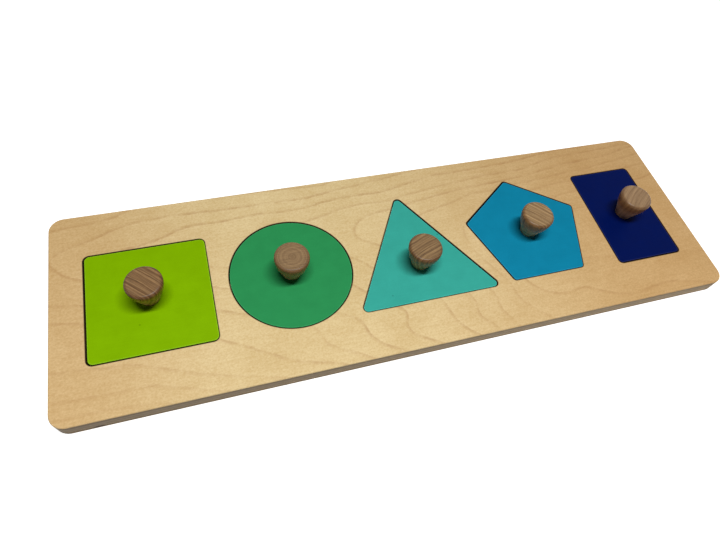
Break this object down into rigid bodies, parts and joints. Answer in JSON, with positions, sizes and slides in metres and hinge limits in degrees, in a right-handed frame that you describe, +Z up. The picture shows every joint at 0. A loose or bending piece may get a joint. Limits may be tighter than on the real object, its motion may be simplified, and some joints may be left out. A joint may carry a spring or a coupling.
{
  "type": "shape puzzle",
  "caption": "Long flat wooden board with square, round, triangular, pentagonal and rectangular painted tiles that lift out of matching cut-outs by turned knobs.",
  "frame": {"origin": "centre of the board's underside", "axes": "+X along the board towards the rectangle, +Y towards the triangle's tip, +Z up out of the painted faces"},
  "size_m": [0.4, 0.125, 0.0276],
  "materials": {
    "plywood": "sanded maple-faced plywood under a thin matt lacquer, with dark laser-cut walls in the cut-outs",
    "beech": "turned and sanded, unpainted",
    "lime_paint": "plywood with a satin lime paint on top and dark laser-cut sides",
    "green_paint": "plywood with a satin green paint on top and dark laser-cut sides",
    "teal_paint": "plywood with a satin teal paint on top and dark laser-cut sides",
    "blue_paint": "plywood with a satin blue paint on top and dark laser-cut sides",
    "navy_paint": "plywood with a satin navy paint on top and dark laser-cut sides",
    "steel": "bright zinc plating"
  },
  "bodies": {
    "board": {"frame_board": "plywood", "backing_board": "plywood"},
    "square_piece": {"square_tile": "lime_paint", "square_knob": "beech", "square_screw": "steel"},
    "round_lifter": {"round_screw": "steel"},
    "round_piece": {"round_tile": "green_paint", "round_knob": "beech"},
    "triangle_piece": {"triangle_tile": "teal_paint", "triangle_knob": "beech", "triangle_screw": "steel"},
    "pentagon_piece": {"pentagon_tile": "blue_paint", "pentagon_knob": "beech", "pentagon_screw": "steel"},
    "rectangle_piece": {"rectangle_tile": "navy_paint", "rectangle_knob": "beech", "rectangle_screw": "steel"}
  },
  "joints": [
    {"name": "square_lift", "type": "slide", "parent": "board", "child": "square_piece", "axis": [0, 0, 1], "range_m": [0, 0.06]},
    {"name": "round_lift", "type": "slide", "parent": "board", "child": "round_lifter", "axis": [0, 0, 1], "range_m": [0, 0.06]},
    {"name": "round_turn", "type": "hinge", "parent": "round_lifter", "child": "round_piece", "pos_m": [-0.06976, -0.00009, 0.0065], "axis": [0, 0, 1], "continuous": true},
    {"name": "triangle_lift", "type": "slide", "parent": "board", "child": "triangle_piece", "axis": [0, 0, 1], "range_m": [0, 0.06]},
    {"name": "pentagon_lift", "type": "slide", "parent": "board", "child": "pentagon_piece", "axis": [0, 0, 1], "range_m": [0, 0.06]},
    {"name": "rectangle_lift", "type": "slide", "parent": "board", "child": "rectangle_piece", "axis": [0, 0, 1], "range_m": [0, 0.06]}
  ]
}
